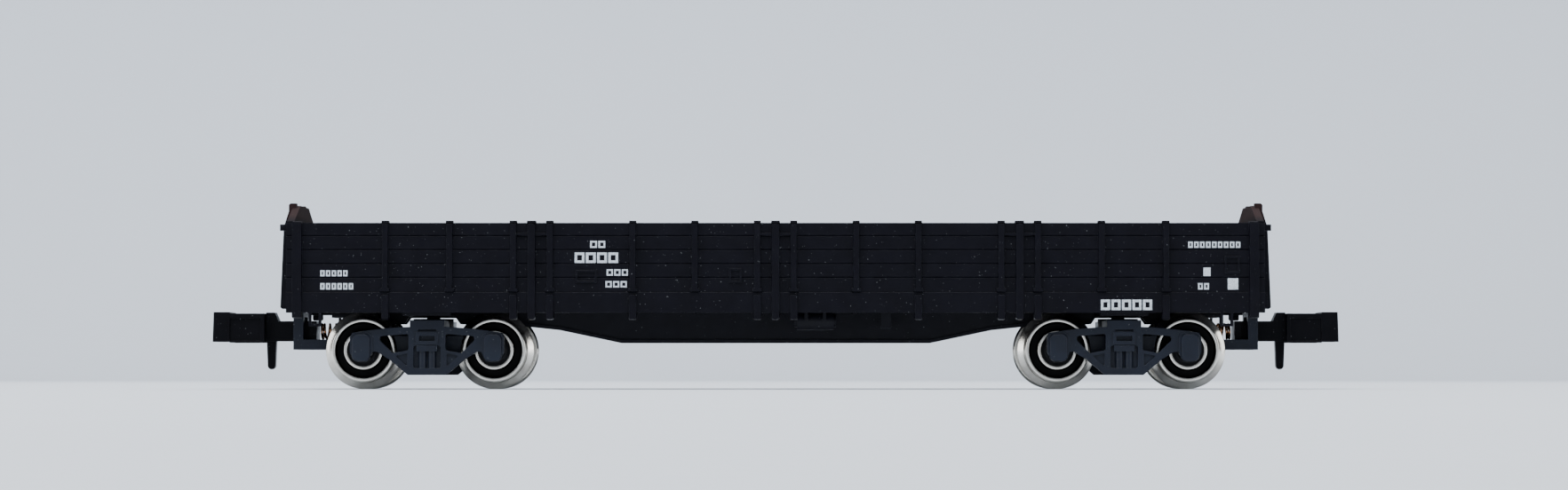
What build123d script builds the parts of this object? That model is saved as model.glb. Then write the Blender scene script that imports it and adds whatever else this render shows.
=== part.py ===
from build123d import *
import os

# A bogie open wagon with plank drop sides, as a 1:150 model for 9 mm gauge track.
# X runs along the wagon, Y across it, and Z up from the lowest points of the flanges.
# The origin is under the middle of the wagon. Lengths are millimetres.

# Wheelsets
FLANGE_R = 3.44
TREAD_R = 2.83
WHEEL_BACK_Y = 3.70
WHEEL_FACE_Y = 5.35
FLANGE_THICK = 0.42
RIM_INNER_R = 2.48
HUB_RING_R = 1.71
BUSH_R = 1.42
WEB_RECESS = 0.50
WEB_DRAFT = 0.05
TYRE_EDGE = 0.10
FLANGE_TOP_EDGE = 0.12
FLANGE_SLOPE = 0.18
FLANGE_DROP = 0.30
FLANGE_FILLET = 0.15
FILLET_RISE = 0.06
BUSH_RECESS = 0.25
BUSH_HUB_DRAFT = 0.08
BUSH_HUB_R = 0.95
AXLE_R = 0.50
JOURNAL_R = 0.40
JOURNAL_Y = 5.60
JOURNAL_STEP = 0.10
AXLE_TIP_Y = 6.95
AXLE_TIP_LONG = 0.40
AXLE_Z = FLANGE_R

# Bogies
PIVOT_X = 30.56
HALF_WHEELBASE = 5.76
FRAME_INNER_Y = 6.25
FRAME_FACE_Y = 7.25
AXLE_BOX_Y = 7.62
BEARING_R = 0.46
BEARING_END_Y = 7.05
BOLSTER_HALF = 1.50
BOLSTER_BOTTOM_Z = 4.30
BOLSTER_TOP_Z = 6.05
TRANSOM_HALF = 3.40
TRANSOM_HALF_Y = 3.40
TRANSOM_TOP_Z = 5.20
PIVOT_PLATE_R = 1.80
PIVOT_PLATE_TOP_Z = 6.25
PIN_R = 0.60
PIN_HOLE_R = 0.66
PIN_HEAD_R = 1.25
PIN_HEAD_THICK = 0.50
PIN_GAP = 0.05
FRAME_MID_Y = (FRAME_INNER_Y + FRAME_FACE_Y) / 2
FRAME_THICK = FRAME_FACE_Y - FRAME_INNER_Y
FRAME_END = 6.60
FRAME_END_Z = 4.95
FRAME_TOP_Z = 5.50
LOWER_LINE = [(1.68, 1.25), (3.30, 2.62), (4.40, 3.30), (FRAME_END, 3.30)]
WINDOW_OUTLINE = [(1.62, 3.42), (3.02, 3.16), (4.16, 4.30), (4.12, 4.66), (1.62, 4.86)]
WINDOW_CORNER_R = 0.18
WEB_OUTLINE = [(1.72, 3.16), (2.80, 2.94), (1.72, 1.98)]
WEB_DEPTH = 0.22
SPRING_SEAT_HALF = 1.20
SPRING_SEAT_Z = 2.84
SPRING_SEAT_TALL = 1.98
SPRING_BLOCK_HALF = 0.90
SPRING_COIL_R = 0.36
SPRING_COIL_X = 0.42
SPRING_CAP_TALL = 0.50
SEAT_CORNER_R = 0.20
SEAT_DEPTH = 0.45
BLOCK_PROUD = 0.12
BOLSTER_BOX_HALF = 0.98
BOLSTER_BOX_Z = 4.46
BOLSTER_BOX_TALL = 1.10
BOLSTER_SLOT_HALF = 0.70
BOLSTER_SLOT_TALL = 0.44
TOP_GROOVE_Z = 5.17
TOP_GROOVE_HALF = 0.80
TOP_GROOVE_TALL = 0.16
BOX_HOUSING_HALF = 0.98
BOX_HOUSING_Z = 3.90
BOX_HOUSING_TALL = 2.20
BOX_LID_HALF = 0.84
BOX_LID_Z = 3.67
BOX_LID_TALL = 2.50
BOX_CORNER_R = 0.55
LID_DRAFT = 10
LID_ROUND = 0.14
SHOE_NEAR = 1.30
SHOE_FAR = 3.30
SHOE_BOTTOM_Z = 2.60
SHOE_TOP_Z = 4.70
SHOE_INNER_Y = 4.36
SHOE_OUTER_Y = 5.30
SHOE_GAP = 0.12
TONGUE_BOTTOM_Z = 4.50
TONGUE_TOP_Z = 5.50
TONGUE_HALF_Y = 1.60

# Couplers, measured along X from the bogie pivot
COUPLER_Z = 5.15
COUPLER_PIVOT = 10.59
POCKET_REAR = 7.50
POCKET_FRONT = 12.27
POCKET_WALL = 0.88
POCKET_HALF_Y = 2.30
POCKET_BOTTOM_Z = 3.50
POCKET_TOP_Z = 6.80
POCKET_THIN = 0.42
POCKET_SIDE_Z = 4.40
POCKET_REAR_TOP_Z = 5.90
MOUTH_HALF_Y = 1.32
MOUTH_BOTTOM_Z = 4.02
MOUTH_TOP_Z = 6.42
SHANK_HALF_Y = 0.90
SHANK_HALF_Z = 0.90
TAIL_HALF_Y = 1.50
TAIL_THICK = 0.60
HOOK_REAR = 14.86
HOOK_TIP = 19.45
HOOK_HALF_Y = 2.20
HOOK_WALL = 0.62
HOOK_BOTTOM_Z = 4.12
HOOK_TOP_Z = 6.72
HEAD_REAR = 17.95
HEAD_BOTTOM_Z = 4.20
HEAD_TOP_Z = 6.84
HEAD_LEAN = 0.08
SHOULDER_X = 13.75
SHOULDER_RUN = 0.35
SHOULDER_TOP_Z = 6.82
CHEEK_PANEL_Z = 5.30
CHEEK_PANEL_TALL = 2.00
CHEEK_SUNK = 0.16
RIDGE_WIDE = 0.32
RIDGE_PROUD = 0.10
NUB_R = 0.14
NUB_Z = 5.40
TRIP_X = 14.42
TRIP_TOP_Z = 4.40
TRIP_FOOT_Z = 1.75
TRIP_HALF_TOP = 0.43
TRIP_HALF_FOOT = 0.34
TRIP_HALF_Y = 0.42
SPRING_GAP = 0.60
SPRING_R = 0.64
SPRING_WIRE_R = 0.11
SPRING_LENGTH = 1.75
SPRING_TURNS = 5

# Body
BODY_HALF_X = 42.75
PLANK_FACE_Y = 8.70
WALL = 0.90
SILL_FACE_Y = 8.85
SILL_INNER_Y = 8.05
RIB_FACE_Y = 9.14
SILL_BOTTOM_Z = 6.70
GATE_BOTTOM_Z = 8.47
SIDE_TOP_Z = 14.55
FLOOR_BOTTOM_Z = 8.25
FLOOR_TOP_Z = 8.70
END_BOTTOM_Z = 7.10
END_WALL = 0.65
GABLE_EAVES_Z = 14.70
GABLE_TOP_Z = 16.25
GABLE_FLAT_HALF = 3.30
PLANK_JOINTS_Z = [9.78, 10.99, 12.21, 13.43]
GROOVE_DEPTH = 0.10
GROOVE_HALF = 0.07
FLOOR_BOARDS = 30
END_BEAM_PROUD = 0.30
END_BEAM_HALF_Y = 8.00

# Ribs along one side. The stakes are fixed, and the straps are on the gates.
STAKE_X = [0, 21.32]
STRAP_X = [1.59, 7.05, 12.48, 19.72, 22.91, 28.48, 34.10]
BARE_SILL_X = [7.05, 28.48]
CORNER_X = 41.80
STAKE_HALF = 0.39
STAKE_CORNER_R = 0.27
STRAP_HALF = 0.31
BRACKET_HALF = 0.37
BRACKET_CORNER_R = 0.19
RIB_BOTTOM_Z = 6.05
RIB_ROOT_Y = 8.40
RIB_DRAFT = 6
STRAP_STEP = 0.08
FOOT_HALF = 0.47
FOOT_TALL = 0.42
BRACKET_GAP = 0.15
CAP_TALL = 0.18
CORNER_HALF = 0.48
CORNER_MID_Z = 10.45
CORNER_TALL = 8.50
LATCH_Z = 13.55
LATCH_REACH = 1.45
LATCH_HALF = 0.17
LATCH_PROUD = 0.24

# End posts, lamp irons, card holders and foot steps
END_POST_Y = 3.45
END_POST_HALF = 0.50
END_POST_TOP_Z = 16.45
END_POST_FOOT_X = 43.80
END_POST_KNEE_X = 43.52
END_POST_KNEE_Z = 14.35
END_POST_SHOULDER_Z = 15.75
END_POST_TOP_X = 43.08
END_POST_CHAMFER = 0.14
LAMP_IRON_Z = 13.90
LAMP_IRON_TALL = 0.55
LAMP_IRON_Y = 7.30
LAMP_IRON_WIDE = 0.60
LAMP_IRON_PROUD = 0.70
CARD_FRAMES = [(-16.55, 9.87, 1.85, 1.10), (-3.50, 9.95, 1.10, 1.26), (39.90, 10.90, 1.30, 1.50)]
CARD_RIM = 0.16
CARD_PROUD = 0.14
STEP_X = [39.40, -40.20]
STEP_WIDE = 1.10
STEP_TALL = 1.60
STEP_MID_Z = 6.30
STEP_BAR = 0.24

# Ballast plate
BALLAST_HALF_X = 40.00
BALLAST_HALF_Y = 7.20
BALLAST_CORNER_R = 0.80

# Underframe
BOSS_R = 1.80
BOSS_BOTTOM_Z = 6.35
PLATE_BOTTOM_Z = 7.15
PLATE_TOP_Z = 7.65
PLATE_HALF_X = 41.90
SILL_WEB_Y = 1.10
SILL_WEB_THICK = 0.40
SILL_FLANGE_WIDE = 0.90
SILL_FLANGE_THICK = 0.30
BELLY_LINE = [(13.80, 4.10), (19.30, 5.26), (22.30, 5.58), (24.30, 5.78)]
CENTRE_SILL_END = 39.50
CENTRE_SILL_END_Z = 6.35
NOTCH_HALF = 2.10
NOTCH_RUN = 0.40
SHALLOW_X = 36.80
BEARER_X = [0, 7.05, 12.48, 18.60]
BEARER_THICK = 0.35
BEARER_HALF_Y = 7.60
BEARER_BOTTOM_Z = 6.72
BODY_BOLSTER_HALF = 2.10
BODY_BOLSTER_BOTTOM_Z = 6.45

# Brake gear under the plate. Each tank is its middle X, its Y, its radius and its length.
BRAKE_TANKS = [(3.50, -5.20, 0.85, 3.20), (-5.60, 5.20, 0.95, 5.00)]
TANK_Z = 6.05
TANK_DOME = 0.22
TANK_DOME_SHARE = 0.7
TANK_STRAP = 0.30
BRAKE_SHAFT_X = 9.70
BRAKE_SHAFT_Z = 5.80
BRAKE_SHAFT_HALF_Y = 6.00
BRAKE_ROD_R = 0.22
BRAKE_HANGER_WIDE = 0.90

os.makedirs("parts", exist_ok=True)


def save(piece, name):
    piece.part.label = name
    export_step(piece.part, f"parts/{name}.step")


def mirrored(values):
    """The same distances to both sides of zero."""
    return sorted({-v for v in values} | set(values))


def plank_section():
    """Half of the tub's cross-section: one plank side with its sill."""
    outer = [(PLANK_FACE_Y, GATE_BOTTOM_Z)]
    inner = [(PLANK_FACE_Y - WALL, FLOOR_BOTTOM_Z)]
    for z in PLANK_JOINTS_Z:
        outer += [
            (PLANK_FACE_Y, z - GROOVE_HALF),
            (PLANK_FACE_Y - GROOVE_DEPTH, z),
            (PLANK_FACE_Y, z + GROOVE_HALF),
        ]
        inner += [
            (PLANK_FACE_Y - WALL, z - GROOVE_HALF),
            (PLANK_FACE_Y - WALL + GROOVE_DEPTH, z),
            (PLANK_FACE_Y - WALL, z + GROOVE_HALF),
        ]
    top = [(PLANK_FACE_Y, SIDE_TOP_Z), (PLANK_FACE_Y - WALL, SIDE_TOP_Z)]
    sill = [
        (SILL_INNER_Y, FLOOR_BOTTOM_Z),
        (SILL_INNER_Y, SILL_BOTTOM_Z),
        (SILL_FACE_Y, SILL_BOTTOM_Z),
        (SILL_FACE_Y, GATE_BOTTOM_Z),
    ]
    return outer + top + inner[::-1] + sill


def gable_outline():
    """The end wall seen along X."""
    foot = PLANK_FACE_Y - WALL / 2
    return [
        (-foot, END_BOTTOM_Z),
        (foot, END_BOTTOM_Z),
        (foot, GABLE_EAVES_Z),
        (GABLE_FLAT_HALF, GABLE_TOP_Z),
        (-GABLE_FLAT_HALF, GABLE_TOP_Z),
        (-foot, GABLE_EAVES_Z),
    ]


def end_post_outline():
    """An end post seen from the side, on the front end."""
    root = BODY_HALF_X - END_WALL / 2
    return [
        (root, END_BOTTOM_Z),
        (END_POST_FOOT_X - END_POST_CHAMFER, END_BOTTOM_Z),
        (END_POST_FOOT_X, END_BOTTOM_Z + END_POST_CHAMFER),
        (END_POST_KNEE_X, END_POST_KNEE_Z),
        (END_POST_TOP_X, END_POST_SHOULDER_Z),
        (END_POST_TOP_X, END_POST_TOP_Z - END_POST_CHAMFER),
        (END_POST_TOP_X - END_POST_CHAMFER, END_POST_TOP_Z),
        (root, END_POST_TOP_Z),
    ]


def both_ways(half):
    """A line of (x, z) points to the right of the middle, with its mirror image before it."""
    return [(-x, z) for x, z in half[::-1]] + half


def belly_outline(raised):
    """The fish-bellied sill seen from the side, with its lower edge raised by a distance. The sill is
    notched over each bogie's bolster and shallower near its end."""
    low = BELLY_LINE[-1][1]
    lower_edge = BELLY_LINE + [
        (PIVOT_X - NOTCH_HALF - NOTCH_RUN, low),
        (PIVOT_X - NOTCH_HALF, CENTRE_SILL_END_Z),
        (PIVOT_X + NOTCH_HALF, CENTRE_SILL_END_Z),
        (PIVOT_X + NOTCH_HALF + NOTCH_RUN, low),
        (SHALLOW_X, low),
        (SHALLOW_X + NOTCH_RUN, CENTRE_SILL_END_Z),
        (CENTRE_SILL_END, CENTRE_SILL_END_Z),
    ]
    half = [(x, z + raised) for x, z in lower_edge]
    return both_ways(half + [(CENTRE_SILL_END, PLATE_BOTTOM_Z)])


# Each end has a frame with X towards its coupler and its origin under the bogie pivot. Its
# side view is the same place seen from the side, with Y upwards.
FRONT_END = Plane(origin=(PIVOT_X, 0, 0), x_dir=(1, 0, 0), z_dir=(0, 0, 1))
REAR_END = Plane(origin=(-PIVOT_X, 0, 0), x_dir=(-1, 0, 0), z_dir=(0, 0, 1))
ENDS = {"front": FRONT_END, "rear": REAR_END}
AXLE_X = [end * PIVOT_X + step * HALF_WHEELBASE for end in (1, -1) for step in (1, -1)]


def side_of(end):
    return Plane(origin=end.origin, x_dir=end.x_dir, z_dir=-end.y_dir)


def side_face(side, y):
    """A plane on one side of the wagon, facing outwards, with its own Y up."""
    return Plane(origin=(0, side * y, 0), x_dir=(-side, 0, 0), z_dir=(0, side, 0))


# Body shell: floor, sides, sills and ends, all one moulding
with BuildPart() as body_shell:
    with BuildSketch(Plane.YZ.offset(-BODY_HALF_X)):
        with BuildLine():
            Polyline(*plank_section(), close=True)
        make_face()
    extrude(amount=2 * BODY_HALF_X)
    mirror(about=Plane.XZ)
    with BuildSketch(Plane.XY.offset(FLOOR_BOTTOM_Z)):
        Rectangle(2 * BODY_HALF_X - END_WALL, 2 * (PLANK_FACE_Y - WALL / 2))
    extrude(amount=FLOOR_TOP_Z - FLOOR_BOTTOM_Z)

    # Floor boards run across the wagon
    with BuildSketch(Plane.XY.offset(FLOOR_TOP_Z)):
        with GridLocations(2 * BODY_HALF_X / FLOOR_BOARDS, 0, FLOOR_BOARDS - 1, 1):
            Rectangle(2 * GROOVE_HALF, 2 * (PLANK_FACE_Y - WALL))
    extrude(amount=-GROOVE_DEPTH, mode=Mode.SUBTRACT)

    # Gable ends with their plank joints, and the beam across each foot
    for end in (-1, 1):
        with BuildSketch(Plane.YZ.offset(end * (BODY_HALF_X - END_WALL / 2))):
            with BuildLine():
                Polyline(*gable_outline(), close=True)
            make_face()
        extrude(amount=END_WALL / 2, both=True)
    with BuildSketch(Plane.XZ):
        for x in (BODY_HALF_X, BODY_HALF_X - END_WALL):
            for z in PLANK_JOINTS_Z + [SIDE_TOP_Z]:
                with Locations((x, z), (-x, z)):
                    Rectangle(2 * GROOVE_DEPTH, 2 * GROOVE_HALF)
    extrude(amount=PLANK_FACE_Y - WALL, both=True, mode=Mode.SUBTRACT)
    with BuildSketch(Plane.XY.offset(END_BOTTOM_Z)):
        with Locations((BODY_HALF_X, 0), (-BODY_HALF_X, 0)):
            Rectangle(2 * END_BEAM_PROUD, 2 * END_BEAM_HALF_Y)
    extrude(amount=GATE_BOTTOM_Z - END_BOTTOM_Z)

    # End posts, deeper at the foot
    for end in (-1, 1):
        for y in (END_POST_Y, -END_POST_Y):
            with BuildSketch(Plane.XZ.offset(y - END_POST_HALF)):
                with BuildLine():
                    Polyline(*[(end * x, z) for x, z in end_post_outline()], close=True)
                make_face()
            extrude(amount=2 * END_POST_HALF)
    with BuildSketch(Plane.XY.offset(LAMP_IRON_Z)):
        with GridLocations(2 * BODY_HALF_X, 2 * LAMP_IRON_Y, 2, 2):
            RectangleRounded(2 * LAMP_IRON_PROUD, LAMP_IRON_WIDE, LAMP_IRON_WIDE / 4)
    extrude(amount=LAMP_IRON_TALL)

    for side in (-1, 1):
        root = side_face(side, RIB_ROOT_Y)
        rib_depth = RIB_FACE_Y - RIB_ROOT_Y
        stake_height = SIDE_TOP_Z - RIB_BOTTOM_Z

        # Fixed stakes, from below the sill to the top of the side
        with BuildSketch(root):
            with Locations(*[(x, SIDE_TOP_Z - stake_height / 2) for x in mirrored(STAKE_X)]):
                RectangleRounded(2 * STAKE_HALF, stake_height, STAKE_CORNER_R)
            with Locations(*[(x, CORNER_MID_Z) for x in mirrored([CORNER_X])]):
                RectangleRounded(2 * CORNER_HALF, CORNER_TALL, STRAP_HALF / 2)
        extrude(amount=rib_depth, taper=RIB_DRAFT)

        # Gate straps with their hinge feet, and the brackets below them
        strap_height = SIDE_TOP_Z - GATE_BOTTOM_Z
        with BuildSketch(root):
            with Locations(*[(x, SIDE_TOP_Z - strap_height / 2) for x in mirrored(STRAP_X)]):
                Rectangle(2 * STRAP_HALF, strap_height)
            with Locations(*[(x, GATE_BOTTOM_Z + FOOT_TALL / 2) for x in mirrored(STRAP_X)]):
                RectangleRounded(2 * FOOT_HALF, FOOT_TALL, FOOT_TALL / 4)
        extrude(amount=rib_depth - STRAP_STEP, taper=RIB_DRAFT)
        bracket_x = [x for x in STRAP_X if x not in BARE_SILL_X]
        bracket_height = GATE_BOTTOM_Z - BRACKET_GAP - RIB_BOTTOM_Z
        with BuildSketch(root):
            with Locations(*[(x, RIB_BOTTOM_Z + bracket_height / 2) for x in mirrored(bracket_x)]):
                RectangleRounded(2 * BRACKET_HALF, bracket_height, BRACKET_CORNER_R)
        extrude(amount=rib_depth, taper=RIB_DRAFT)

        # Caps where stakes and straps hook over the top plank
        with BuildSketch(Plane.XY.offset(SIDE_TOP_Z)):
            cap_y = side * (PLANK_FACE_Y - WALL + RIB_FACE_Y - STRAP_STEP) / 2
            cap_wide = RIB_FACE_Y - STRAP_STEP - PLANK_FACE_Y + WALL
            with Locations(*[(x, cap_y) for x in mirrored(STRAP_X)]):
                Rectangle(2 * STRAP_HALF, cap_wide)
            with Locations(*[(x, cap_y) for x in mirrored(STAKE_X)]):
                Rectangle(2 * STAKE_HALF, cap_wide)
        extrude(amount=CAP_TALL, taper=RIB_DRAFT)

        # Latch bars from each stake to the two straps beside it
        with BuildSketch(side_face(side, PLANK_FACE_Y - GROOVE_DEPTH)):
            with Locations(*[(x, LATCH_Z) for x in mirrored(STAKE_X)]):
                Polygon(
                    (-LATCH_REACH, -LATCH_HALF / 2),
                    (0, -LATCH_HALF),
                    (LATCH_REACH, -LATCH_HALF / 2),
                    (LATCH_REACH, LATCH_HALF / 2),
                    (0, LATCH_HALF),
                    (-LATCH_REACH, LATCH_HALF / 2),
                )
        extrude(amount=LATCH_PROUD + GROOVE_DEPTH)

        # Card holders: two open frames and a plain box
        with BuildSketch(side_face(side, PLANK_FACE_Y - GROOVE_DEPTH)):
            for x, z, wide, tall in CARD_FRAMES:
                with Locations((x, z)):
                    Rectangle(wide, tall)
                    Rectangle(wide - 2 * CARD_RIM, tall - 2 * CARD_RIM, mode=Mode.SUBTRACT)
        extrude(amount=CARD_PROUD + GROOVE_DEPTH)

        # Foot steps below the sill
        with BuildSketch(side_face(side, SILL_FACE_Y)):
            with Locations(*[(x, STEP_MID_Z) for x in STEP_X]):
                Rectangle(STEP_WIDE, STEP_TALL)
                Rectangle(STEP_WIDE - 2 * STEP_BAR, STEP_TALL - 2 * STEP_BAR, mode=Mode.SUBTRACT)
        extrude(amount=-STEP_BAR)
save(body_shell, "body_shell")


# Ballast: a flat steel plate between the load floor and the underframe
with BuildPart() as ballast_weight:
    with BuildSketch(Plane.XY.offset(PLATE_TOP_Z)):
        RectangleRounded(2 * BALLAST_HALF_X, 2 * BALLAST_HALF_Y, BALLAST_CORNER_R)
        with Locations((PIVOT_X, 0), (-PIVOT_X, 0)):
            Circle(BOSS_R, mode=Mode.SUBTRACT)
    extrude(amount=FLOOR_BOTTOM_Z - PLATE_TOP_Z)
save(ballast_weight, "ballast_weight")


# Underframe: a plate, two fish-bellied sills, cross-bearers, pivot bosses and brake gear
with BuildPart() as underframe:
    with BuildSketch(Plane.XY.offset(PLATE_BOTTOM_Z)):
        Rectangle(2 * PLATE_HALF_X, 2 * SILL_INNER_Y)
    extrude(amount=PLATE_TOP_Z - PLATE_BOTTOM_Z)
    for side in (-1, 1):
        with BuildSketch(Plane.XZ.offset(side * SILL_WEB_Y)):
            with BuildLine():
                Polyline(*belly_outline(0), close=True)
            make_face()
        extrude(amount=SILL_WEB_THICK / 2, both=True)
        with BuildSketch(Plane.XZ.offset(side * SILL_WEB_Y)):
            with BuildLine():
                Polyline(*belly_outline(0), close=True)
            make_face()
            with BuildLine():
                Polyline(*belly_outline(SILL_FLANGE_THICK), close=True)
            make_face(mode=Mode.SUBTRACT)
        extrude(amount=SILL_FLANGE_WIDE / 2, both=True)
    with BuildSketch(Plane.XY.offset(BODY_BOLSTER_BOTTOM_Z)):
        with Locations((PIVOT_X, 0), (-PIVOT_X, 0)):
            Rectangle(2 * BODY_BOLSTER_HALF, 2 * BEARER_HALF_Y)
    extrude(amount=PLATE_BOTTOM_Z - BODY_BOLSTER_BOTTOM_Z)
    with BuildSketch(Plane.XY.offset(BEARER_BOTTOM_Z)):
        for x in mirrored(BEARER_X):
            with Locations((x, 0)):
                Rectangle(BEARER_THICK, 2 * BEARER_HALF_Y)
    extrude(amount=PLATE_BOTTOM_Z - BEARER_BOTTOM_Z)
    with BuildSketch(Plane.XY.offset(BOSS_BOTTOM_Z)):
        with Locations((PIVOT_X, 0), (-PIVOT_X, 0)):
            Circle(BOSS_R)
    extrude(amount=PLATE_TOP_Z - BOSS_BOTTOM_Z)
    with BuildSketch(Plane.XY.offset(BOSS_BOTTOM_Z)):
        with Locations((PIVOT_X, 0), (-PIVOT_X, 0)):
            Circle(PIN_R)
    extrude(amount=PLATE_TOP_Z - BOSS_BOTTOM_Z, mode=Mode.SUBTRACT)

    # Brake cylinder and air reservoir, each hung from two straps
    for x, y, radius, length in BRAKE_TANKS:
        with BuildSketch(Plane.YZ.offset(x - length / 2)):
            with Locations((y, TANK_Z)):
                Circle(radius)
        extrude(amount=length)
        with BuildSketch(Plane.YZ.offset(x - length / 2 - TANK_DOME)):
            with Locations((y, TANK_Z)):
                Circle(radius * TANK_DOME_SHARE)
        extrude(amount=length + 2 * TANK_DOME)
        with BuildSketch(Plane.XY.offset(TANK_Z)):
            with Locations((x - length / 4, y), (x + length / 4, y)):
                Rectangle(TANK_STRAP, 2 * radius + TANK_STRAP)
        extrude(amount=PLATE_BOTTOM_Z - TANK_Z)

    # Brake shaft across the wagon, with its hangers
    with BuildSketch(Plane.XZ.offset(-BRAKE_SHAFT_HALF_Y)):
        with Locations((BRAKE_SHAFT_X, BRAKE_SHAFT_Z)):
            Circle(BRAKE_ROD_R)
    extrude(amount=2 * BRAKE_SHAFT_HALF_Y)
    hanger_tall = PLATE_BOTTOM_Z - BRAKE_SHAFT_Z + 2 * BRAKE_ROD_R
    for y in (-BRAKE_SHAFT_HALF_Y, -SILL_WEB_Y, SILL_WEB_Y, BRAKE_SHAFT_HALF_Y):
        with BuildSketch(Plane.XZ.offset(y)):
            with Locations((BRAKE_SHAFT_X, PLATE_BOTTOM_Z - hanger_tall / 2)):
                Rectangle(BRAKE_HANGER_WIDE, hanger_tall)
        extrude(amount=BRAKE_ROD_R, both=True)
save(underframe, "underframe")


def make_bogie_frame(end):
    """Side frames, bolster, tongue and coupler pocket, all one moulding."""
    side_view = side_of(end)
    with BuildPart() as frame:
        # Bolster with its centre plate, and the transom between the wheels
        with BuildSketch(end.offset(BOLSTER_BOTTOM_Z)):
            Rectangle(2 * BOLSTER_HALF, 2 * FRAME_FACE_Y)
        extrude(amount=BOLSTER_TOP_Z - BOLSTER_BOTTOM_Z)
        with BuildSketch(end.offset(BOLSTER_BOTTOM_Z)):
            Rectangle(2 * TRANSOM_HALF, 2 * TRANSOM_HALF_Y)
        extrude(amount=TRANSOM_TOP_Z - BOLSTER_BOTTOM_Z)
        with BuildSketch(end.offset(BOLSTER_BOTTOM_Z)):
            Circle(PIVOT_PLATE_R)
        extrude(amount=PIVOT_PLATE_TOP_Z - BOLSTER_BOTTOM_Z)

        for side in (-1, 1):
            # Side frame: an arched top bar, and diagonals down to the spring seat
            with BuildSketch(side_view.offset(side * FRAME_MID_Y)):
                with BuildLine():
                    Polyline(*both_ways(LOWER_LINE + [(FRAME_END, FRAME_END_Z)]))
                    ThreePointArc((-FRAME_END, FRAME_END_Z), (0, FRAME_TOP_Z), (FRAME_END, FRAME_END_Z))
                make_face()
            extrude(amount=FRAME_THICK / 2, both=True)

            # Windows beside the seat, with a sunk web under each
            face = side_view.offset(side * FRAME_FACE_Y)
            for flip in (-1, 1):
                with BuildSketch(face):
                    with BuildLine():
                        Polyline(*[(flip * x, z) for x, z in WINDOW_OUTLINE], close=True)
                    make_face()
                    fillet(vertices(), WINDOW_CORNER_R)
                extrude(amount=-side * FRAME_THICK, mode=Mode.SUBTRACT)
                with BuildSketch(face):
                    with BuildLine():
                        Polyline(*[(flip * x, z) for x, z in WEB_OUTLINE], close=True)
                    make_face()
                    fillet(vertices(), WINDOW_CORNER_R / 2)
                extrude(amount=-side * WEB_DEPTH, mode=Mode.SUBTRACT)

            # Spring seat, bolster end and the groove above it, sunk into the face
            with BuildSketch(face):
                with Locations((0, SPRING_SEAT_Z)):
                    RectangleRounded(2 * SPRING_SEAT_HALF, SPRING_SEAT_TALL, SEAT_CORNER_R)
                with Locations((0, BOLSTER_BOX_Z)):
                    RectangleRounded(2 * BOLSTER_SLOT_HALF, BOLSTER_SLOT_TALL, BOLSTER_SLOT_TALL / 4)
                with Locations((0, TOP_GROOVE_Z)):
                    RectangleRounded(2 * TOP_GROOVE_HALF, TOP_GROOVE_TALL, TOP_GROOVE_TALL / 4)
            extrude(amount=-side * SEAT_DEPTH, mode=Mode.SUBTRACT)

            # Two bolster springs under a cap, standing in the seat
            seat_bottom = SPRING_SEAT_Z - SPRING_SEAT_TALL / 2
            cap_bottom = seat_bottom + SPRING_SEAT_TALL - SPRING_CAP_TALL
            with BuildSketch(face.offset(-side * SEAT_DEPTH)):
                with Locations((0, cap_bottom + SPRING_CAP_TALL / 2)):
                    Rectangle(2 * SPRING_BLOCK_HALF, SPRING_CAP_TALL)
            extrude(amount=side * (SEAT_DEPTH + BLOCK_PROUD))
            coil_y = -side * (FRAME_FACE_Y - SPRING_COIL_R)
            with BuildSketch(end.offset(seat_bottom)):
                with Locations((SPRING_COIL_X, coil_y), (-SPRING_COIL_X, coil_y)):
                    Circle(SPRING_COIL_R)
            extrude(amount=cap_bottom - seat_bottom)
            with BuildSketch(face):
                with Locations((0, BOLSTER_BOX_Z)):
                    Rectangle(2 * BOLSTER_BOX_HALF, BOLSTER_BOX_TALL)
                    Rectangle(2 * BOLSTER_SLOT_HALF, BOLSTER_SLOT_TALL, mode=Mode.SUBTRACT)
            extrude(amount=side * BLOCK_PROUD)

            # Axle boxes: a housing with a rounded lid standing off it, and a bearing cup inside
            box_x = mirrored([HALF_WHEELBASE])
            with BuildSketch(side_view.offset(side * FRAME_INNER_Y)):
                with Locations(*[(x, BOX_HOUSING_Z) for x in box_x]):
                    RectangleRounded(2 * BOX_HOUSING_HALF, BOX_HOUSING_TALL, BOX_CORNER_R)
            extrude(amount=side * (FRAME_THICK + BLOCK_PROUD))
            with BuildSketch(face):
                with Locations(*[(x, BOX_LID_Z) for x in box_x]):
                    RectangleRounded(2 * BOX_LID_HALF, BOX_LID_TALL, BOX_CORNER_R)
            extrude(amount=side * (AXLE_BOX_Y - FRAME_FACE_Y), taper=LID_DRAFT)
            with BuildSketch(side_view.offset(side * FRAME_INNER_Y)):
                with Locations(*[(x, AXLE_Z) for x in box_x]):
                    Circle(BEARING_R)
            extrude(amount=side * (BEARING_END_Y - FRAME_INNER_Y), mode=Mode.SUBTRACT)

            # Brake shoes hung from the bolster, curved round the treads
            for flip in (-1, 1):
                shoe_mid = flip * (SHOE_NEAR + SHOE_FAR) / 2
                with BuildSketch(side_view.offset(side * SHOE_INNER_Y)):
                    with Locations((shoe_mid, (SHOE_BOTTOM_Z + SHOE_TOP_Z) / 2)):
                        Rectangle(SHOE_FAR - SHOE_NEAR, SHOE_TOP_Z - SHOE_BOTTOM_Z)
                    with Locations((flip * HALF_WHEELBASE, AXLE_Z)):
                        Circle(TREAD_R + SHOE_GAP, mode=Mode.SUBTRACT)
                extrude(amount=side * (SHOE_OUTER_Y - SHOE_INNER_Y))
        across = frame.faces().sort_by(Axis.Y)
        for lids in (across[:2], across[-2:]):
            fillet(lids.edges(), LID_ROUND)

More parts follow.
